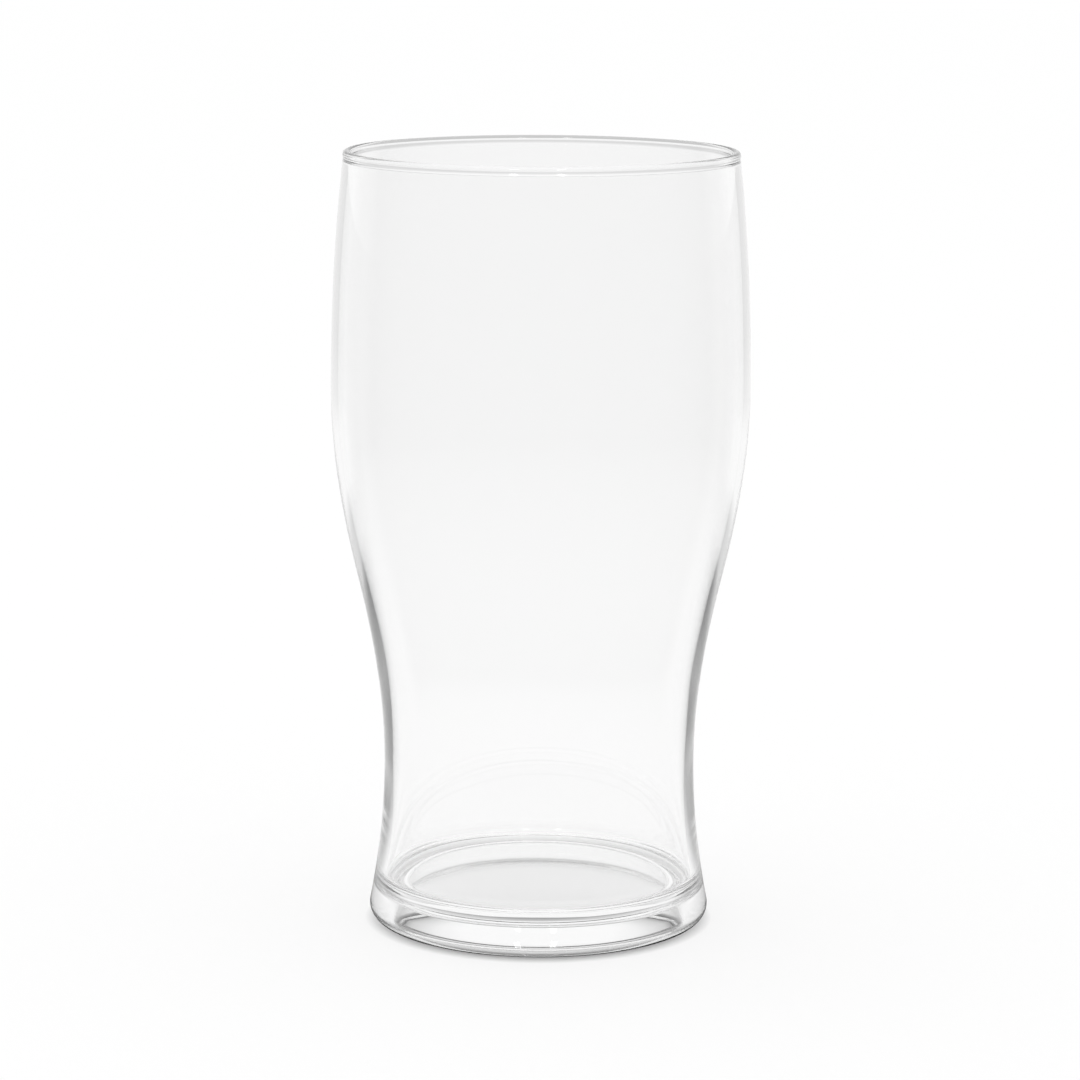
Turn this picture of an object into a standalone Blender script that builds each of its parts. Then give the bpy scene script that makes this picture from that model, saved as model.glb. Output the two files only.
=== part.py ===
"""Clear tulip-shaped pint tumbler, moulded in one piece.

The tumbler stands on the table at z = 0 with its axis on +Z. One closed profile in the XZ plane is turned
about that axis. It runs from the middle of the floor up the inside wall, over the rolled lip, down the
outside wall and round the heel, to the standing ring and the recess under the floor. Units are metres.
"""

import math

import bpy

# Outside shape
HEIGHT = 0.155
RIM_DIAMETER = 0.0783
BELLY_DIAMETER = 0.0832
BELLY_BELOW_RIM = 0.0475
WAIST_DIAMETER = 0.0623
WAIST_HEIGHT = 0.033
FOOT_DIAMETER = 0.0683
HEEL_RADIUS = 0.003

# Slopes of the outside wall: its lean at the rim and the foot, and how much steeper than
# its mean slope the S-curve between waist and belly runs at mid-height
RIM_TAPER = math.radians(6.5)
FOOT_FLARE = math.radians(11.0)
SHOULDER_STEEPNESS = 1.75

# Wall, lip and floor
RIM_WALL = 0.0014
BELLY_WALL = 0.0014
WAIST_WALL = 0.0018
FOOT_WALL = 0.0022
LIP_SWELL = 0.00012
FLOOR_THICKNESS = 0.0024
FLOOR_FILLET = 0.002

# Underside: a steep-sided recess inside the standing ring, its side leaning in as it rises
STANDING_RING_WIDTH = 0.0011
RECESS_DEPTH = 0.0058
RECESS_DRAFT = math.radians(19.0)
RECESS_ROUND = 0.0015

# Facets
TURN_STEPS = 64
WALL_FACET = 0.008
LIP_FACETS = 8
FILLET_FACETS = 4

# The lip is a bead a little thicker than the wall, and the wall runs into it at its root
LIP_RADIUS = RIM_WALL / 2 + LIP_SWELL
LIP_CENTRE = (RIM_DIAMETER / 2 - LIP_RADIUS, HEIGHT - LIP_RADIUS)
LIP_ROOT_ANGLE = math.acos(RIM_WALL / 2 / LIP_RADIUS)
LIP_ROOT_HEIGHT = LIP_CENTRE[1] - LIP_RADIUS * math.sin(LIP_ROOT_ANGLE)

# The heel is an arc that leaves the flared wall and lands flat on the table
HEEL_CENTRE = (FOOT_DIAMETER / 2 - HEEL_RADIUS, HEEL_RADIUS)
HEEL_TOP_RADIUS = HEEL_CENTRE[0] + HEEL_RADIUS * math.cos(FOOT_FLARE)
HEEL_TOP_HEIGHT = HEEL_CENTRE[1] + HEEL_RADIUS * math.sin(FOOT_FLARE)

FLOOR_HEIGHT = RECESS_DEPTH + FLOOR_THICKNESS
BELLY_HEIGHT = HEIGHT - BELLY_BELOW_RIM
SHOULDER_HEIGHT = (WAIST_HEIGHT + BELLY_HEIGHT) / 2
SHOULDER_DIAMETER = (WAIST_DIAMETER + BELLY_DIAMETER) / 2
MEAN_SLOPE = (BELLY_DIAMETER - WAIST_DIAMETER) / 2 / (BELLY_HEIGHT - WAIST_HEIGHT)

# Stations up the wall: height, value, and slope of the value there
OUTSIDE_RADIUS = [
    (HEEL_TOP_HEIGHT, HEEL_TOP_RADIUS, -math.tan(FOOT_FLARE)),
    (WAIST_HEIGHT, WAIST_DIAMETER / 2, 0.0),
    (SHOULDER_HEIGHT, SHOULDER_DIAMETER / 2, SHOULDER_STEEPNESS * MEAN_SLOPE),
    (BELLY_HEIGHT, BELLY_DIAMETER / 2, 0.0),
    (LIP_ROOT_HEIGHT, LIP_CENTRE[0] + RIM_WALL / 2, -math.tan(RIM_TAPER)),
]
WALL_THICKNESS = [
    (FLOOR_HEIGHT, FOOT_WALL, 0.0),
    (WAIST_HEIGHT, WAIST_WALL, 0.0),
    (BELLY_HEIGHT, BELLY_WALL, 0.0),
    (LIP_ROOT_HEIGHT, RIM_WALL, 0.0),
]


def clear_scene():
    """Remove whatever objects the file opened with."""
    for old in list(bpy.data.objects):
        bpy.data.objects.remove(old, do_unlink=True)


def along(stations, height):
    """Read a smooth curve through the stations, cubic between each two, at a height."""
    low, high = stations[0], stations[1]
    for pair in zip(stations, stations[1:]):
        if height >= pair[0][0]:
            low, high = pair
    span = high[0] - low[0]
    t = (height - low[0]) / span
    rise = t * t * (3 - 2 * t)
    return (
        low[1] * (1 - rise)
        + high[1] * rise
        + low[2] * span * t * (1 - t) ** 2
        - high[2] * span * t * t * (1 - t)
    )


def outside_radius(height):
    return along(OUTSIDE_RADIUS, height)


def inside_radius(height):
    return outside_radius(height) - along(WALL_THICKNESS, height)


def wall_heights(bottom, top):
    """Heights of the facet rings strictly between bottom and top, with one at the waist and the belly."""
    marks = [bottom, WAIST_HEIGHT, BELLY_HEIGHT, top]
    heights = []
    for low, high in zip(marks, marks[1:]):
        count = max(1, math.ceil((high - low) / WALL_FACET))
        heights += [low + (high - low) * i / count for i in range(count)]
    return heights[1:]


def arc(centre, radius, start, end, facets):
    """Points on a circular arc from one angle to another, both ends included."""
    angles = [start + (end - start) * i / facets for i in range(facets + 1)]
    return [(centre[0] + radius * math.cos(a), centre[1] + radius * math.sin(a)) for a in angles]


def inside_points():
    """Floor, floor fillet and inside wall, from the axis up to the lip's root."""
    probe = FLOOR_HEIGHT + FLOOR_FILLET
    lean = math.atan((inside_radius(probe) - inside_radius(probe + WALL_FACET)) / WALL_FACET)
    fillet_top = FLOOR_HEIGHT + FLOOR_FILLET * (1 + math.sin(lean))
    centre = (inside_radius(fillet_top) - FLOOR_FILLET * math.cos(lean), probe)
    points = [(0.0, FLOOR_HEIGHT)]
    points += arc(centre, FLOOR_FILLET, -math.pi / 2, lean, FILLET_FACETS)
    points += [(inside_radius(z), z) for z in wall_heights(fillet_top, LIP_ROOT_HEIGHT)]
    return points


def lip_points():
    """The rolled lip, from the inside wall over the top to the outside wall."""
    return arc(LIP_CENTRE, LIP_RADIUS, math.pi + LIP_ROOT_ANGLE, -LIP_ROOT_ANGLE, LIP_FACETS)


def outside_points():
    """Outside wall down to the heel, and the heel down to the table."""
    heights = reversed(wall_heights(HEEL_TOP_HEIGHT, LIP_ROOT_HEIGHT))
    points = [(outside_radius(z), z) for z in heights]
    return points + arc(HEEL_CENTRE, HEEL_RADIUS, FOOT_FLARE, -math.pi / 2, FILLET_FACETS)


def underside_points():
    """The recess: round its lower edge, up its side, round into its flat top and along that to the axis."""
    foot = HEEL_CENTRE[0] - STANDING_RING_WIDTH
    rise = RECESS_DEPTH - 2 * RECESS_ROUND * (1 - math.sin(RECESS_DRAFT))
    top = foot - 2 * RECESS_ROUND * math.cos(RECESS_DRAFT) - rise * math.tan(RECESS_DRAFT)
    lower = (foot, RECESS_ROUND)
    upper = (top, RECESS_DEPTH - RECESS_ROUND)
    points = arc(lower, RECESS_ROUND, -math.pi / 2, RECESS_DRAFT - math.pi, FILLET_FACETS)
    points += arc(upper, RECESS_ROUND, RECESS_DRAFT, math.pi / 2, FILLET_FACETS)
    return points + [(0.0, RECESS_DEPTH)]


def brim_capacity(points):
    """Volume inside the turned points, as a stack of cone slices, in millilitres."""
    volume = 0.0
    for (r0, z0), (r1, z1) in zip(points, points[1:]):
        volume += math.pi * (r0 * r0 + r0 * r1 + r1 * r1) * (z1 - z0) / 3
    return volume * 1e6


def clear_plastic():
    """Glossy water-clear polycarbonate."""
    material = bpy.data.materials.new("clear_polycarbonate")
    material.use_nodes = True
    shader = material.node_tree.nodes["Principled BSDF"]
    shader.inputs["Base Color"].default_value = (0.93, 0.94, 0.94, 1.0)
    shader.inputs["Metallic"].default_value = 0.0
    shader.inputs["Roughness"].default_value = 0.03
    shader.inputs["IOR"].default_value = 1.585
    shader.inputs["Transmission Weight"].default_value = 1.0
    return material


def turn(name, points, collection):
    """Turn a profile of (radius, height) points about +Z into a closed body."""
    mesh = bpy.data.meshes.new(name)
    edges = [(i, i + 1) for i in range(len(points) - 1)]
    mesh.from_pydata([(r, 0.0, z) for r, z in points], edges, [])
    body = bpy.data.objects.new(name, mesh)
    collection.objects.link(body)
    screw = body.modifiers.new("turn", "SCREW")
    screw.axis = "Z"
    screw.angle = 2 * math.pi
    screw.steps = TURN_STEPS
    screw.render_steps = TURN_STEPS
    screw.use_merge_vertices = True
    screw.merge_threshold = 0.00001
    screw.use_smooth_shade = True
    return body


def main():
    clear_scene()
    collection = bpy.data.collections.new("plastic_pint_glass")
    bpy.context.scene.collection.children.link(collection)
    profile = inside_points() + lip_points() + outside_points() + underside_points()
    tumbler = turn("tumbler", profile, collection)
    tumbler.data.materials.append(clear_plastic())
    half_lip = lip_points()[: LIP_FACETS // 2 + 1]
    print("brim capacity, ml:", round(brim_capacity(inside_points() + half_lip), 1))


main()
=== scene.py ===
# %% [markdown]
# A clear plastic pint tumbler
#
# The real tumbler is one moulding of clear plastic: a rounded lip, a full belly, a narrow waist, and a
# thick flared foot with a hollow under it. There is nothing to put together, so this lesson is about three
# things: one good profile, one clear material, and a studio that makes something see-through visible.
# The imported CAD model is loaded first. The finished tumbler has to fit in it.

# %% Load the imported model
import math

import bmesh
import bpy
from mathutils import Matrix, Vector


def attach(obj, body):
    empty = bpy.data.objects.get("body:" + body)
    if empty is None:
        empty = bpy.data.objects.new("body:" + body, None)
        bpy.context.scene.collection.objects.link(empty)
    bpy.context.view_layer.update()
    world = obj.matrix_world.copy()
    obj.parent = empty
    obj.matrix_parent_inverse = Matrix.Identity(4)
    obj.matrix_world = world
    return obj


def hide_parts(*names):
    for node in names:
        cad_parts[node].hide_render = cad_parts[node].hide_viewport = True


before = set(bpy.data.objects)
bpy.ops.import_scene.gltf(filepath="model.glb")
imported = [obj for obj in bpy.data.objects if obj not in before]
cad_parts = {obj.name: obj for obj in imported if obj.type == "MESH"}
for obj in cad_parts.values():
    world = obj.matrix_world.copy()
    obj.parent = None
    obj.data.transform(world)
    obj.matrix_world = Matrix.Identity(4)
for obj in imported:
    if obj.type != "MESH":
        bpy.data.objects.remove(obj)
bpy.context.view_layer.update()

# %% [markdown]
# The outside wall
#
# A tumbler is round, so its whole shape is in one half-section: how far the wall is from the axis at each
# height. That could be drawn by hand in Edit Mode, or as a curve with handles. Here it is a short list of
# stations, each with a height, a radius and how fast the radius changes there, and a smooth cubic runs
# between each two. The sizes are real ones in metres, the same as in the part's source, so that this
# smooth tumbler lies on the CAD solid with its flat facets.

# %% Stations of the outside wall
HEIGHT = 0.155
RIM_DIAMETER = 0.0783
BELLY_DIAMETER = 0.0832
BELLY_BELOW_RIM = 0.0475
WAIST_DIAMETER = 0.0623
WAIST_HEIGHT = 0.033
FOOT_DIAMETER = 0.0683
HEEL_RADIUS = 0.003
RIM_TAPER = math.radians(6.5)
FOOT_FLARE = math.radians(11.0)
SHOULDER_STEEPNESS = 1.75

RIM_WALL = 0.0014
LIP_SWELL = 0.00012
lip_radius = RIM_WALL / 2 + LIP_SWELL
lip_centre = (RIM_DIAMETER / 2 - lip_radius, HEIGHT - lip_radius)
lip_root_angle = math.acos(RIM_WALL / 2 / lip_radius)
lip_root_height = lip_centre[1] - lip_radius * math.sin(lip_root_angle)

heel_centre = (FOOT_DIAMETER / 2 - HEEL_RADIUS, HEEL_RADIUS)
heel_top_radius = heel_centre[0] + HEEL_RADIUS * math.cos(FOOT_FLARE)
heel_top_height = heel_centre[1] + HEEL_RADIUS * math.sin(FOOT_FLARE)

belly_height = HEIGHT - BELLY_BELOW_RIM
shoulder_height = (WAIST_HEIGHT + belly_height) / 2
shoulder_diameter = (WAIST_DIAMETER + BELLY_DIAMETER) / 2
mean_slope = (BELLY_DIAMETER - WAIST_DIAMETER) / 2 / (belly_height - WAIST_HEIGHT)
outside_stations = [
    (heel_top_height, heel_top_radius, -math.tan(FOOT_FLARE)),
    (WAIST_HEIGHT, WAIST_DIAMETER / 2, 0.0),
    (shoulder_height, shoulder_diameter / 2, SHOULDER_STEEPNESS * mean_slope),
    (belly_height, BELLY_DIAMETER / 2, 0.0),
    (lip_root_height, lip_centre[0] + RIM_WALL / 2, -math.tan(RIM_TAPER)),
]


def along(stations, height):
    """Read a smooth curve through the stations, cubic between each two, at a height."""
    low, high = stations[0], stations[1]
    for pair in zip(stations, stations[1:]):
        if height >= pair[0][0]:
            low, high = pair
    span = high[0] - low[0]
    t = (height - low[0]) / span
    rise = t * t * (3 - 2 * t)
    bend = low[2] * span * t * (1 - t) ** 2 - high[2] * span * t * t * (1 - t)
    return low[1] * (1 - rise) + high[1] * rise + bend


def outside_radius(height):
    return along(outside_stations, height)


print("radius half-way up, mm:", round(1000 * outside_radius(HEIGHT / 2), 2))

# %% [markdown]
# The inside wall
#
# The drink side isn't a copy of the outside. In such a moulding the plastic is thinnest at the belly and
# thickest at the foot, and that is what bends the light at the edges. A Solidify modifier would give one
# thickness everywhere, so the inside is the outside less a thickness that has stations of its own. The
# heights are 1 mm apart: a curve that refracts shows every flat step.

# %% Wall thickness and the points of the inside wall
BELLY_WALL = 0.0014
WAIST_WALL = 0.0018
FOOT_WALL = 0.0022
FLOOR_THICKNESS = 0.0024
FLOOR_FILLET = 0.002
RECESS_DEPTH = 0.0058
RING_SPACING = 0.001
ARC_STEPS = 12
FLAT_MARGIN = 0.003

floor_height = RECESS_DEPTH + FLOOR_THICKNESS
wall_stations = [
    (floor_height, FOOT_WALL, 0.0),
    (WAIST_HEIGHT, WAIST_WALL, 0.0),
    (belly_height, BELLY_WALL, 0.0),
    (lip_root_height, RIM_WALL, 0.0),
]


def inside_radius(height):
    return outside_radius(height) - along(wall_stations, height)


def heights_between(bottom, top):
    """Even heights strictly between two heights."""
    count = round((top - bottom) / RING_SPACING)
    return [bottom + (top - bottom) * i / count for i in range(1, count)]


def arc(centre, radius, start, end):
    """Points on a circular arc in the half-section, both ends included."""
    angles = [start + (end - start) * i / ARC_STEPS for i in range(ARC_STEPS + 1)]
    return [(centre[0] + radius * math.cos(a), centre[1] + radius * math.sin(a)) for a in angles]


fillet_middle = floor_height + FLOOR_FILLET
drop = inside_radius(fillet_middle) - inside_radius(fillet_middle + RING_SPACING)
inside_lean = math.atan(drop / RING_SPACING)
fillet_top = fillet_middle + FLOOR_FILLET * math.sin(inside_lean)
fillet_centre = (inside_radius(fillet_top) - FLOOR_FILLET * math.cos(inside_lean), fillet_middle)
floor_and_fillet = [(0.0, floor_height), (fillet_centre[0] - FLAT_MARGIN, floor_height)]
floor_and_fillet += arc(fillet_centre, FLOOR_FILLET, -math.pi / 2, inside_lean)
inside_wall = [(inside_radius(z), z) for z in heights_between(fillet_top, lip_root_height)]
print("points on floor and fillet:", len(floor_and_fillet), "and on the inside wall:", len(inside_wall))

# %% [markdown]
# The lip, the heel and the recess under the floor
#
# A cut edge would hurt, so the lip is a bead a little thicker than the wall. At the other end the heel
# rolls under to a narrow flat ring, which is all that touches the table. Inside the ring the underside
# steps up into a recess with steep, rounded sides, so that the floor is no thicker than a mould can cool.
# Seen from the front the recess is a bright lens-shaped window low in the foot. Bevels on plain corners
# would do for all of these. Arcs are used because their ends meet the wall at its own slope. The flat
# parts get one more ring just inside their edge, which keeps smooth shading from bending them.

# %% Points of the lip, the outside wall, the heel and the recess
STANDING_RING_WIDTH = 0.0011
RECESS_DRAFT = math.radians(19.0)
RECESS_ROUND = 0.0015

lip = arc(lip_centre, lip_radius, math.pi + lip_root_angle, -lip_root_angle)
outside_heights = reversed(heights_between(heel_top_height, lip_root_height))
outside_wall = [(outside_radius(z), z) for z in outside_heights]
heel = arc(heel_centre, HEEL_RADIUS, FOOT_FLARE, -math.pi / 2)

side_rise = RECESS_DEPTH - 2 * RECESS_ROUND * (1 - math.sin(RECESS_DRAFT))
lower_centre = (heel_centre[0] - STANDING_RING_WIDTH, RECESS_ROUND)
side_run = 2 * RECESS_ROUND * math.cos(RECESS_DRAFT) + side_rise * math.tan(RECESS_DRAFT)
upper_centre = (lower_centre[0] - side_run, RECESS_DEPTH - RECESS_ROUND)
recess = arc(lower_centre, RECESS_ROUND, -math.pi / 2, RECESS_DRAFT - math.pi)
recess += arc(upper_centre, RECESS_ROUND, RECESS_DRAFT, math.pi / 2)
recess += [(upper_centre[0] - FLAT_MARGIN, RECESS_DEPTH), (0.0, RECESS_DEPTH)]
half_section = floor_and_fillet + inside_wall + lip + outside_wall + heel + recess
print("half-section:", len(half_section), "points")

# %% [markdown]
# One turn of the half-section
#
# Spin sweeps the half-section round the axis, as a lathe or a turned mould does. A full turn ends where it
# began, so the ends are merged, the doubles on the axis go, and the normals are then turned to face out.
# Clear plastic needs a closed skin with its inside and outside apart, because the light is bent once at
# each of them. 192 steps keep the round edges free of corners at this size.

# %% Spin the tumbler
FULL_TURN = 2 * math.pi
TURN_STEPS = 192
MERGE_DISTANCE = 0.000001

body = bmesh.new()
corners = [body.verts.new((radius, 0.0, height)) for radius, height in half_section]
strokes = [body.edges.new(pair) for pair in zip(corners, corners[1:])]
bmesh.ops.spin(
    body,
    geom=corners + strokes,
    cent=(0.0, 0.0, 0.0),
    axis=(0.0, 0.0, 1.0),
    angle=FULL_TURN,
    steps=TURN_STEPS,
    use_merge=True,
)
bmesh.ops.remove_doubles(body, verts=body.verts, dist=MERGE_DISTANCE)
bmesh.ops.recalc_face_normals(body, faces=body.faces)
print("tumbler:", len(body.faces), "faces,", round(1e6 * body.calc_volume(), 1), "ml of plastic")

# %% [markdown]
# An uneven wall
#
# No moulding is perfectly even. In the photo the grey line along each edge swells and thins on its way
# down, one way on the left and another on the right, because the wall behind it is thicker and thinner.
# A soft sculpting brush would do it. Here the inside of the lower wall is moved in and out by a slow wave
# on each side, and the two waves fade into each other round the tumbler.

# %% Push the inside wall in and out
LEFT_DEPTH = 0.00015
LEFT_WAVE = 0.068
LEFT_WAVE_START = 0.038
RIGHT_DEPTH = 0.00006
RIGHT_WAVE = 0.029
RIGHT_WAVE_START = 0.036
UNEVEN_BAND = (0.013, 0.070)
INSIDE_MARGIN = 0.0001

moved = 0
for corner in body.verts:
    radius = math.hypot(corner.co.x, corner.co.y)
    height = corner.co.z
    if UNEVEN_BAND[0] < height < UNEVEN_BAND[1] and radius < inside_radius(height) + INSIDE_MARGIN:
        fade = math.sin(math.pi * (height - UNEVEN_BAND[0]) / (UNEVEN_BAND[1] - UNEVEN_BAND[0])) ** 2
        rightness = (1 + corner.co.x / radius) / 2
        left = LEFT_DEPTH * math.sin(FULL_TURN * (height - LEFT_WAVE_START) / LEFT_WAVE)
        right = -RIGHT_DEPTH * math.cos(FULL_TURN * (height - RIGHT_WAVE_START) / RIGHT_WAVE)
        push = fade * (left * (1 - rightness) + right * rightness)
        corner.co.xy *= 1 - push / radius
        moved += 1
body.normal_update()
print("moved", moved, "corners of the inside wall")

# %% Make it an object
tumbler_mesh = bpy.data.meshes.new("clear_tumbler")
body.to_mesh(tumbler_mesh)
body.free()
tumbler_mesh.shade_smooth()
tumbler = bpy.data.objects.new("clear_tumbler", tumbler_mesh)
bpy.context.scene.collection.objects.link(tumbler)
print("object:", tumbler.name)

# %% [markdown]
# Clear polycarbonate, injection moulded and polished
#
# Pub tumblers that don't shatter are moulded in polycarbonate. It is as clear as glass and bends light a
# little more, and what the eye gets is thin grey lines where the wall turns away, and almost nothing in
# between. Light that passes straight through keeps nearly all its strength, so the tint is very weak.
# Two marks of the real thing are added. The moulded skin isn't optically flat: slow waves a few
# millimetres long wander over it. And the standing ring is satin, rubbed by tables.

# %% Nodes of the clear plastic
MILLIMETRE = 0.001
FLOW_WAVE = 9 * MILLIMETRE
FLOW_HEIGHT = 0.002 * MILLIMETRE
SATIN_HEIGHT = 0.4 * MILLIMETRE
SATIN_ROUGHNESS = 0.3


def linear(hex_colour):
    """An sRGB hex colour as the linear colour that a shader socket takes."""
    parts = [int(hex_colour[i:i + 2], 16) / 255 for i in (1, 3, 5)]
    return [p / 12.92 if p <= 0.04045 else ((p + 0.055) / 1.055) ** 2.4 for p in parts] + [1.0]


def add_node(tree, kind, settings, links=None):
    """Add a node, set its sockets, options or grey stops, and link its inputs to other outputs."""
    node = tree.nodes.new(kind)
    for name, value in settings.items():
        if name == "stops":
            for number, (place, grey) in enumerate(value):
                stops = node.color_ramp.elements
                stop = stops[number] if number < 2 else stops.new(place)
                stop.position = place
                stop.color = (grey, grey, grey, 1.0)
        elif isinstance(name, int) or name in node.inputs:
            node.inputs[name].default_value = value
        else:
            setattr(node, name, value)
    for name, output in (links or {}).items():
        tree.links.new(output, node.inputs[name])
    return node


def empty_tree(owner):
    """Turn on a material's or a world's nodes and clear them."""
    owner.use_nodes = True
    owner.node_tree.nodes.clear()
    return owner.node_tree


plastic = bpy.data.materials.new("clear_polycarbonate")
tree = empty_tree(plastic)
place = add_node(tree, "ShaderNodeTexCoord", {})
flow = add_node(
    tree,
    "ShaderNodeTexNoise",
    {"Scale": 1 / FLOW_WAVE, "Detail": 1.0, "Roughness": 0.4},
    {"Vector": place.outputs["Object"]},
)
waves = add_node(
    tree,
    "ShaderNodeBump",
    {"Strength": 1.0, "Distance": FLOW_HEIGHT},
    {"Height": flow.outputs["Fac"]},
)
axes = add_node(tree, "ShaderNodeSeparateXYZ", {}, {"Vector": place.outputs["Object"]})
satin = add_node(
    tree,
    "ShaderNodeMapRange",
    {"From Min": 0.0, "From Max": SATIN_HEIGHT, "To Min": SATIN_ROUGHNESS, "To Max": 0.0},
    {"Value": axes.outputs["Z"]},
)
shader = add_node(
    tree,
    "ShaderNodeBsdfPrincipled",
    {"Base Color": linear("#FDFDFD"), "Metallic": 0.0, "IOR": 1.585, "Transmission Weight": 1.0},
    {"Roughness": satin.outputs["Result"], "Normal": waves.outputs["Normal"]},
)

# %% [markdown]
# Letting the lamps through
#
# A path tracer rarely finds a lamp through two bent surfaces, so a clear object would throw a solid dark
# shadow. Shadow rays are given a plain transparent surface instead, which takes only a little light.
# Everything that the eye sees directly still goes through the real shader.

# %% Finish the material and dress the part
path = add_node(tree, "ShaderNodeLightPath", {})
passes = add_node(tree, "ShaderNodeBsdfTransparent", {"Color": linear("#F9F9F9")})
surface = add_node(
    tree,
    "ShaderNodeMixShader",
    {},
    {"Fac": path.outputs["Is Shadow Ray"], 1: shader.outputs["BSDF"], 2: passes.outputs["BSDF"]},
)
add_node(tree, "ShaderNodeOutputMaterial", {}, {"Surface": surface.outputs["Shader"]})
tumbler_mesh.materials.append(plastic)
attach(tumbler, "root")
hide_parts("tumbler")
print("material:", plastic.name, "with", len(tree.nodes), "nodes")

# %% [markdown]
# A bright field for a clear object
#
# On white paper in an evenly white room a clear tumbler nearly vanishes. Photographers light it as a bright
# field: white behind and under it, and grey cards outside the picture. Only the edges of the wall bend
# light far enough to find the cards, so the edges turn grey and the rest stays pale. Real cards would stand
# in the way of the other views here, so the Light Path node sorts the rays instead. Its Transmission Depth
# counts the skins that a ray has crossed, and a wall has two. Its Glossy Depth tells if the ray has bounced.
# These are the settings of the Math nodes that ask such questions, for the paper first and then the room.

# %% Questions that sort the rays
ONE_WALL = {"operation": "COMPARE", 1: 2.0, 2: 0.5}
TWO_WALLS = {"operation": "COMPARE", 1: 4.0, 2: 0.5}
TWO_WALLS_OR_MORE = {"operation": "GREATER_THAN", 1: 3.5}
MORE_THAN_TWO_WALLS = {"operation": "GREATER_THAN", 1: 5.5}
ANY_BOUNCE = {"operation": "GREATER_THAN", 1: 0.5}
print("skins in two walls:", TWO_WALLS[1])

# %% [markdown]
# Paper seen straight on or straight through
#
# Part of the paper's light is a glow of its own, so that the background is white at a plain light level. The
# rest is matt paper, which keeps the shadow. Under the recess the glow is stronger, painted light that fills
# the shade under the foot. The painted greys change with the distance from the axis. A painted shadow lies
# where the heel meets the paper. Through the floor of the tumbler the paper is painted as an even pale grey
# disc of shade. The lip's round bead throws rays through one wall far out on the paper, and a painted grey
# there draws the upper line of the rim.

# %% Paper without bounces
PAPER_GLOW = 0.7
HOLLOW_GLOW = 0.95
HOLLOW_RADIUS = 0.0305
# Painted shadow under the foot, darkest in a ring where the heel meets the paper.
PAINTED_HEEL_SHADOW_STOPS = ((0.018, 1.0), (0.030, 0.55), (0.0322, 0.2), (0.0336, 1.0))
# Painted shade: seen through the floor the paper is an even pale grey, with a darker ring near the heel.
PAINTED_DISC_SHADE_STOPS = ((0.028, 0.8), (0.0322, 0.6), (0.036, 1.0))
# Painted grey far out on the paper, seen only through one wall, which draws the upper line of the rim.
PAINTED_RIM_LINE_STOPS = ((0.05, 1.0), (0.06, 0.4), (0.60, 0.4), (0.80, 1.0))

paper = bpy.data.materials.new("matt_white_paper")
tree = empty_tree(paper)
path = add_node(tree, "ShaderNodeLightPath", {})
skins = path.outputs["Transmission Depth"]
spot = add_node(tree, "ShaderNodeNewGeometry", {})
reach = add_node(tree, "ShaderNodeVectorMath", {"operation": "LENGTH"}, {0: spot.outputs["Position"]})
distance = reach.outputs["Value"]
painted_heel_shadow = add_node(tree, "ShaderNodeValToRGB", {"stops": PAINTED_HEEL_SHADOW_STOPS}, {"Fac": distance})
painted_disc_shade = add_node(tree, "ShaderNodeValToRGB", {"stops": PAINTED_DISC_SHADE_STOPS}, {"Fac": distance})
rim_shade = add_node(tree, "ShaderNodeValToRGB", {"stops": PAINTED_RIM_LINE_STOPS}, {"Fac": distance})
crossed = add_node(tree, "ShaderNodeMath", TWO_WALLS_OR_MORE, {0: skins})
one_wall = add_node(tree, "ShaderNodeMath", ONE_WALL, {0: skins})
painted_under_shade = add_node(
    tree,
    "ShaderNodeMix",
    {"data_type": "FLOAT"},
    {"Factor": crossed.outputs["Value"], "A": painted_heel_shadow.outputs["Color"], "B": painted_disc_shade.outputs["Color"]},
)
painted_rim_line = add_node(
    tree,
    "ShaderNodeMix",
    {"data_type": "FLOAT", "A": 1.0},
    {"Factor": one_wall.outputs["Value"], "B": rim_shade.outputs["Color"]},
)
strength = add_node(
    tree,
    "ShaderNodeMath",
    {"operation": "MULTIPLY"},
    {0: painted_under_shade.outputs["Result"], 1: painted_rim_line.outputs["Result"]},
)
# Painted light: under the recess more of the paper is glow, which fills the shade under the foot.
hollow = add_node(tree, "ShaderNodeMath", {"operation": "LESS_THAN", 1: HOLLOW_RADIUS}, {0: distance})
share = add_node(
    tree,
    "ShaderNodeMapRange",
    {"From Min": 0.0, "From Max": 1.0, "To Min": PAPER_GLOW, "To Max": HOLLOW_GLOW},
    {"Value": hollow.outputs["Value"]},
)
sheet = add_node(tree, "ShaderNodeBsdfDiffuse", {"Color": linear("#F6F6F6")})
glow = add_node(
    tree,
    "ShaderNodeEmission",
    {"Color": linear("#FFFFFF")},
    {"Strength": strength.outputs["Value"]},
)
straight = add_node(
    tree,
    "ShaderNodeMixShader",
    {},
    {"Fac": share.outputs["Result"], 1: sheet.outputs["BSDF"], 2: glow.outputs["Emission"]},
)
print("paper: glow", PAPER_GLOW, "and under the recess", HOLLOW_GLOW)

# %% [markdown]
# The painted cards on the floor
#
# Light that bounced inside the wall of the tumbler leaves it low, and reaches the floor the further out the
# higher up the wall it left. So a grey painted on the paper, for bounced rays only, that changes with the
# distance from the tumbler becomes a grey that changes with the height on its edge. The painted card behind
# it draws the edges: darkest at the shoulder, lighter at the waist, faint at the belly. The painted card on
# the camera's side is dim far out and gives the bowl its even pale grey, and to the sides it gets lighter.
# Rays that crossed more walls find white. The mirror image on the outside of the plastic is of white paper
# too, apart from a painted shadow under the heel.

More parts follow.
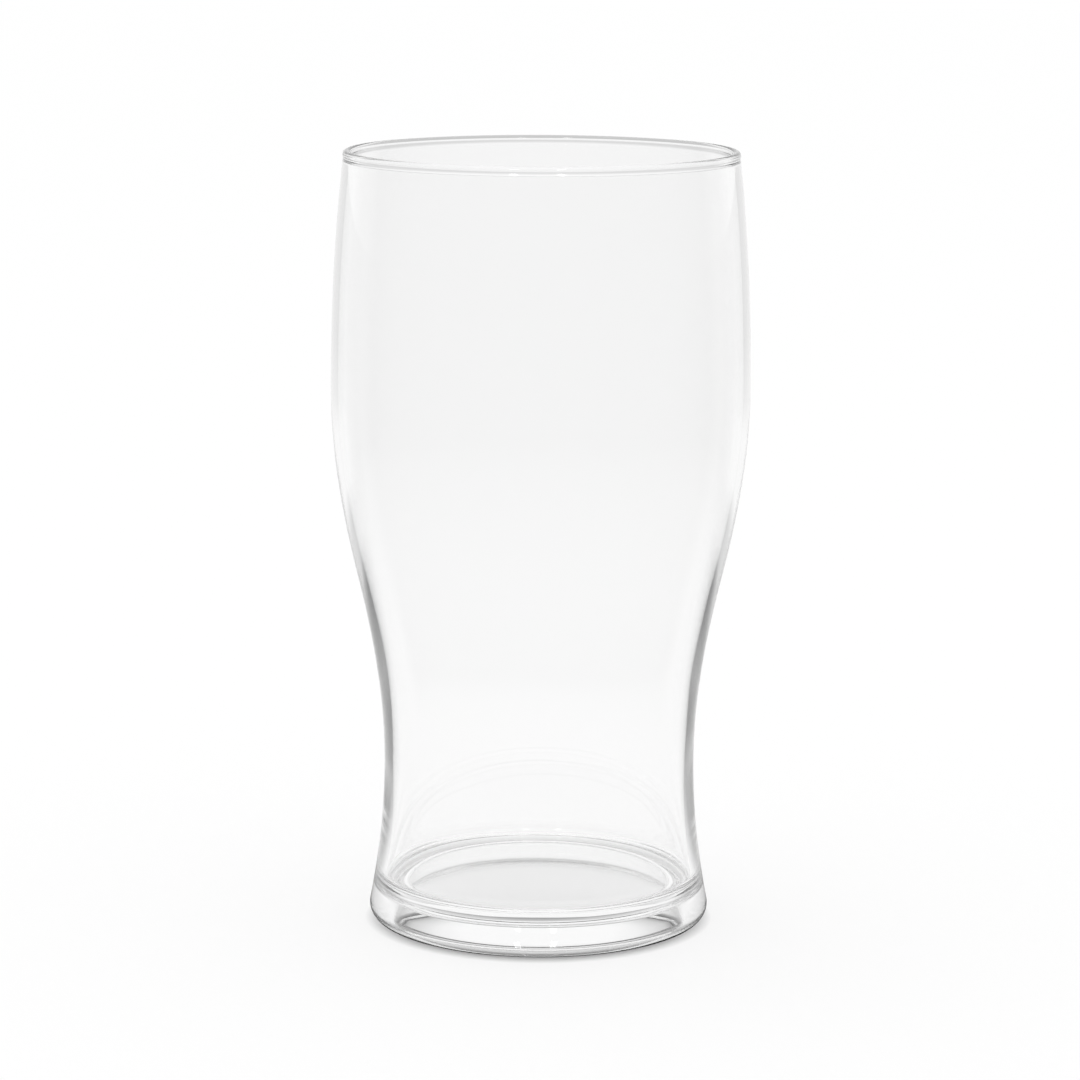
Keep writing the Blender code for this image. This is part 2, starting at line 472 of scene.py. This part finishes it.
# %% What bounced light finds on the floor
# Painted greys on the paper for bounced rays only: no card stands there.
PAINTED_BACK_CARD = (
    (0.034, 1.0), (0.045, 0.35), (0.07, 0.3), (0.10, 0.4), (0.137, 0.34), (0.17, 0.2),
    (0.20, 0.07), (0.22, 0.06), (0.24, 0.25), (0.258, 0.52), (0.278, 0.57), (0.31, 0.58),
    (0.37, 0.94), (0.55, 0.94), (0.72, 0.8), (1.0, 0.7),
)
PAINTED_NEAR_CARD = ((0.10, 1.0), (0.45, 0.3))
SIDE_TURN = (0.0, 0.8)
SIDE_LIGHT = 0.5
BACK_TURN = (0.5, 0.7)
# Painted shadow under the heel, seen only in the mirror image on the outside of the plastic.
PAINTED_HEEL_SHADOW_REACH = (0.034, 0.075)
PAINTED_HEEL_SHADOW_LEVEL = 0.05

painted_back_card = add_node(tree, "ShaderNodeValToRGB", {"stops": PAINTED_BACK_CARD}, {"Fac": distance})
painted_near_card = add_node(tree, "ShaderNodeValToRGB", {"stops": PAINTED_NEAR_CARD}, {"Fac": distance})
axes = add_node(tree, "ShaderNodeSeparateXYZ", {}, {"Vector": spot.outputs["Position"]})
turn = add_node(tree, "ShaderNodeMath", {"operation": "DIVIDE"}, {0: axes.outputs["Y"], 1: distance})
side = add_node(
    tree,
    "ShaderNodeMapRange",
    {"From Min": SIDE_TURN[0], "From Max": SIDE_TURN[1], "To Min": 0.0, "To Max": SIDE_LIGHT},
    {"Value": turn.outputs["Value"]},
)
near = add_node(
    tree,
    "ShaderNodeMath",
    {"operation": "MAXIMUM"},
    {0: painted_near_card.outputs["Color"], 1: side.outputs["Result"]},
)
deep = add_node(tree, "ShaderNodeMath", MORE_THAN_TWO_WALLS, {0: skins})
near_level = add_node(
    tree,
    "ShaderNodeMath",
    {"operation": "MAXIMUM"},
    {0: near.outputs["Value"], 1: deep.outputs["Value"]},
)
back_level = add_node(
    tree,
    "ShaderNodeMath",
    {"operation": "MAXIMUM"},
    {0: painted_back_card.outputs["Color"], 1: crossed.outputs["Value"]},
)
behind = add_node(
    tree,
    "ShaderNodeMapRange",
    {"From Min": BACK_TURN[0], "From Max": BACK_TURN[1]},
    {"Value": turn.outputs["Value"]},
)
painted_card = add_node(
    tree,
    "ShaderNodeMix",
    {"data_type": "FLOAT"},
    {"Factor": behind.outputs["Result"], "A": near_level.outputs["Value"], "B": back_level.outputs["Value"]},
)
painted_bounce_grey = add_node(tree, "ShaderNodeEmission", {}, {"Strength": painted_card.outputs["Result"]})
painted_heel_shadow_in_mirror = add_node(
    tree,
    "ShaderNodeMapRange",
    {"From Min": PAINTED_HEEL_SHADOW_REACH[0], "From Max": PAINTED_HEEL_SHADOW_REACH[1], "To Min": PAINTED_HEEL_SHADOW_LEVEL, "To Max": 1.0},
    {"Value": distance},
)
mirrored = add_node(tree, "ShaderNodeEmission", {}, {"Strength": painted_heel_shadow_in_mirror.outputs["Result"]})
print("card stops:", len(PAINTED_BACK_CARD), "behind,", len(PAINTED_NEAR_CARD), "in front")

# %% Sort the rays and finish the paper
bounced = add_node(tree, "ShaderNodeMath", ANY_BOUNCE, {0: path.outputs["Glossy Depth"]})
within = path.outputs["Is Transmission Ray"]
edges = add_node(
    tree,
    "ShaderNodeMixShader",
    {},
    {"Fac": within, 1: mirrored.outputs["Emission"], 2: painted_bounce_grey.outputs["Emission"]},
)
surface = add_node(
    tree,
    "ShaderNodeMixShader",
    {},
    {"Fac": bounced.outputs["Value"], 1: straight.outputs["Shader"], 2: edges.outputs["Shader"]},
)
add_node(tree, "ShaderNodeOutputMaterial", {}, {"Surface": surface.outputs["Shader"]})
print("paper:", len(tree.nodes), "nodes")

# %% [markdown]
# The floor
#
# The paper is one big round sheet, a hair below the standing ring so that the two never share a plane.

# %% Lay the floor
FLOOR_RADIUS = 4.0
FLOOR_GAP = 0.0002

round_sheet = bmesh.new()
bmesh.ops.create_circle(round_sheet, cap_ends=True, segments=96, radius=FLOOR_RADIUS)
bmesh.ops.translate(round_sheet, verts=round_sheet.verts, vec=(0.0, 0.0, -FLOOR_GAP))
floor_mesh = bpy.data.meshes.new("paper_floor")
round_sheet.to_mesh(floor_mesh)
round_sheet.free()
floor_mesh.materials.append(paper)
floor = bpy.data.objects.new("paper_floor", floor_mesh)
bpy.context.scene.collection.objects.link(floor)
print("floor radius, m:", FLOOR_RADIUS)

# %% [markdown]
# The white room
#
# The world is the room. It is plain white and lights everything softly from all round. Its greys are painted,
# only for rays that went through the plastic, sorted as on the floor. The lip's bead throws some rays up, and
# a painted grey band above the backdrop draws the lower line of the rim with them. Heel and foot throw others
# up steeply, and the painted greys that these find shade the heel. Light that bounced inside the wall finds a
# painted dim room on the camera's side, and a painted grey band in a pale ceiling behind the tumbler. The
# mirror image on the outside is of white.

# %% What each kind of ray finds in the room
# Painted greys for rays through the plastic: a band above the backdrop, and shade on the heel and foot.
PAINTED_BAND_STOPS = ((0.05, 1.0), (0.15, 0.75), (0.60, 0.75), (0.75, 1.0))
PAINTED_HEEL_SHADE_STOPS = ((0.12, 1.0), (0.25, 0.4), (0.42, 0.05))
PAINTED_FOOT_SHADE_STOPS = ((0.25, 1.0), (0.38, 0.5), (0.50, 0.15))
# Painted grey band in the ceiling and a painted dim room, seen only by rays that bounced in the plastic.
PAINTED_CEILING_STOPS = ((0.40, 0.97), (0.60, 0.45), (0.75, 0.45), (0.85, 1.0))
PAINTED_ROOM_DIM = 0.3
ROOM_RISE = (0.35, 0.55)

world = bpy.data.worlds.new("white_room")
bpy.context.scene.world = world
tree = empty_tree(world)
direction = add_node(tree, "ShaderNodeTexCoord", {})
axes = add_node(tree, "ShaderNodeSeparateXYZ", {}, {"Vector": direction.outputs["Generated"]})
upward = axes.outputs["Z"]
backward = axes.outputs["Y"]
painted_band = add_node(tree, "ShaderNodeValToRGB", {"stops": PAINTED_BAND_STOPS}, {"Fac": upward})
heel_shade = add_node(tree, "ShaderNodeValToRGB", {"stops": PAINTED_HEEL_SHADE_STOPS}, {"Fac": upward})
foot_shade = add_node(tree, "ShaderNodeValToRGB", {"stops": PAINTED_FOOT_SHADE_STOPS}, {"Fac": upward})
painted_ceiling = add_node(tree, "ShaderNodeValToRGB", {"stops": PAINTED_CEILING_STOPS}, {"Fac": upward})
side = add_node(
    tree,
    "ShaderNodeMapRange",
    {"From Min": SIDE_TURN[0], "From Max": SIDE_TURN[1], "To Min": PAINTED_ROOM_DIM, "To Max": SIDE_LIGHT},
    {"Value": backward},
)
overhead = add_node(
    tree,
    "ShaderNodeMapRange",
    {"From Min": ROOM_RISE[0], "From Max": ROOM_RISE[1]},
    {"Value": upward},
)
near = add_node(
    tree,
    "ShaderNodeMath",
    {"operation": "MAXIMUM"},
    {0: side.outputs["Result"], 1: overhead.outputs["Result"]},
)
behind = add_node(
    tree,
    "ShaderNodeMapRange",
    {"From Min": BACK_TURN[0], "From Max": BACK_TURN[1]},
    {"Value": backward},
)
print("room: band", PAINTED_BAND_STOPS[1][1], "and ceiling", PAINTED_CEILING_STOPS[1][1])

# %% Sort the rays that went straight through
path = add_node(tree, "ShaderNodeLightPath", {})
skins = path.outputs["Transmission Depth"]
within = path.outputs["Is Transmission Ray"]
crossed = add_node(tree, "ShaderNodeMath", TWO_WALLS_OR_MORE, {0: skins})
two_walls = add_node(tree, "ShaderNodeMath", TWO_WALLS, {0: skins})
foot = add_node(
    tree,
    "ShaderNodeMix",
    {"data_type": "FLOAT"},
    {"Factor": crossed.outputs["Value"], "A": painted_band.outputs["Color"], "B": foot_shade.outputs["Color"]},
)
heel_level = add_node(
    tree,
    "ShaderNodeMix",
    {"data_type": "FLOAT"},
    {"Factor": two_walls.outputs["Value"], "A": foot.outputs["Result"], "B": heel_shade.outputs["Color"]},
)
straight = add_node(
    tree,
    "ShaderNodeMix",
    {"data_type": "FLOAT", "A": 1.0},
    {"Factor": within, "B": heel_level.outputs["Result"]},
)
print("room: heel", PAINTED_HEEL_SHADE_STOPS[-1][1], "and foot", PAINTED_FOOT_SHADE_STOPS[-1][1])

# %% Sort the rays that bounced and finish the room
deep = add_node(tree, "ShaderNodeMath", MORE_THAN_TWO_WALLS, {0: skins})
near_level = add_node(
    tree,
    "ShaderNodeMath",
    {"operation": "MAXIMUM"},
    {0: near.outputs["Value"], 1: deep.outputs["Value"]},
)
back_level = add_node(
    tree,
    "ShaderNodeMath",
    {"operation": "MAXIMUM"},
    {0: painted_ceiling.outputs["Color"], 1: crossed.outputs["Value"]},
)
painted_bounce_grey = add_node(
    tree,
    "ShaderNodeMix",
    {"data_type": "FLOAT"},
    {"Factor": behind.outputs["Result"], "A": near_level.outputs["Value"], "B": back_level.outputs["Value"]},
)
edges = add_node(
    tree,
    "ShaderNodeMix",
    {"data_type": "FLOAT", "A": 1.0},
    {"Factor": within, "B": painted_bounce_grey.outputs["Result"]},
)
bounced = add_node(tree, "ShaderNodeMath", ANY_BOUNCE, {0: path.outputs["Glossy Depth"]})
level = add_node(
    tree,
    "ShaderNodeMix",
    {"data_type": "FLOAT"},
    {"Factor": bounced.outputs["Value"], "A": straight.outputs["Result"], "B": edges.outputs["Result"]},
)
room = add_node(
    tree,
    "ShaderNodeBackground",
    {"Color": linear("#FFFFFF")},
    {"Strength": level.outputs["Result"]},
)
add_node(tree, "ShaderNodeOutputWorld", {}, {"Surface": room.outputs["Background"]})
print("room:", len(tree.nodes), "nodes")

# %% [markdown]
# Lamps
#
# Two small softboxes stand beside the camera, above it. They hardly light a clear thing, but each leaves a
# bright upright glint on the lip and the foot, and the two together say "gloss". A very weak, very soft
# sun from above does nothing but lay a faint shadow, which keeps the foot on the paper.

# %% Softboxes and the soft sun
LAMP_SWINGS = {"softbox_left": math.radians(-18), "softbox_right": math.radians(13)}
LAMP_DISTANCE = 1.4
LAMP_ELEVATION = math.radians(40)
LAMP_CENTRE = Vector((0.0, 0.0, 0.1))
LAMP_AIM = Vector((0.0, 0.0, 0.07))
LAMP_SIZE = (0.10, 0.30)
LAMP_RADIANCE = 6.0
SUN_STRENGTH = 0.28
SUN_SOFTNESS = math.radians(40)
SUN_TILT = (math.radians(-25), math.radians(-20), 0.0)

level_reach = LAMP_DISTANCE * math.cos(LAMP_ELEVATION)
lamp_rise = LAMP_DISTANCE * math.sin(LAMP_ELEVATION)
for name, swing in LAMP_SWINGS.items():
    step = Vector((level_reach * math.sin(swing), -level_reach * math.cos(swing), lamp_rise))
    lamp_place = LAMP_CENTRE + step
    softbox = bpy.data.lights.new(name, "AREA")
    softbox.shape = "RECTANGLE"
    softbox.size, softbox.size_y = LAMP_SIZE
    softbox.energy = LAMP_RADIANCE * math.pi * LAMP_SIZE[0] * LAMP_SIZE[1]
    lamp = bpy.data.objects.new(name, softbox)
    lamp.location = lamp_place
    lamp.rotation_euler = (LAMP_AIM - lamp_place).to_track_quat("-Z", "Y").to_euler()
    bpy.context.scene.collection.objects.link(lamp)
    print(name, "at", [round(value, 2) for value in lamp_place])

sunlight = bpy.data.lights.new("soft_sun", "SUN")
sunlight.energy = SUN_STRENGTH
sunlight.angle = SUN_SOFTNESS
sun = bpy.data.objects.new("soft_sun", sunlight)
sun.rotation_euler = SUN_TILT
sun.visible_glossy = False
sun.visible_transmission = False
bpy.context.scene.collection.objects.link(sun)

# %% [markdown]
# The camera
#
# The rim and the foot show as ellipses, and how flat they are gives the camera's height. The rim's is
# flatter than the foot's, which gives its distance. It stands 0.79 m away and 0.22 m up, looks down by ten
# degrees, and a long lens keeps the sides nearly parallel.

# %% Camera
CAMERA_DISTANCE = 0.785
CAMERA_HEIGHT = 0.219
CAMERA_PITCH = math.radians(10.24)
CAMERA_ROLL = math.radians(0.256)
LENS_LENGTH = 133.1
SENSOR_WIDTH = 36.0

camera_data = bpy.data.cameras.new("camera")
camera_data.lens = LENS_LENGTH
camera_data.sensor_width = SENSOR_WIDTH
camera = bpy.data.objects.new("camera", camera_data)
stand = Matrix.Translation((0.0, -CAMERA_DISTANCE, CAMERA_HEIGHT))
tilt = Matrix.Rotation(math.pi / 2 - CAMERA_PITCH, 4, "X")
roll = Matrix.Rotation(CAMERA_ROLL, 4, "Z")
camera.matrix_world = stand @ tilt @ roll
bpy.context.scene.collection.objects.link(camera)
bpy.context.scene.camera = camera
print("camera: lens", LENS_LENGTH, "mm")

# %% [markdown]
# Enough bounces
#
# A ray crosses four skins of plastic on its way through the bowl and many more in the foot. With the usual
# limit the foot would fill with black. Colours are shown as they are, with the Standard view.

# %% Render paths and finish
SKIN_CROSSINGS = 32
MIRROR_BOUNCES = 16

scene = bpy.context.scene
scene.cycles.max_bounces = SKIN_CROSSINGS
scene.cycles.transmission_bounces = SKIN_CROSSINGS
scene.cycles.glossy_bounces = MIRROR_BOUNCES
scene.view_settings.view_transform = "Standard"
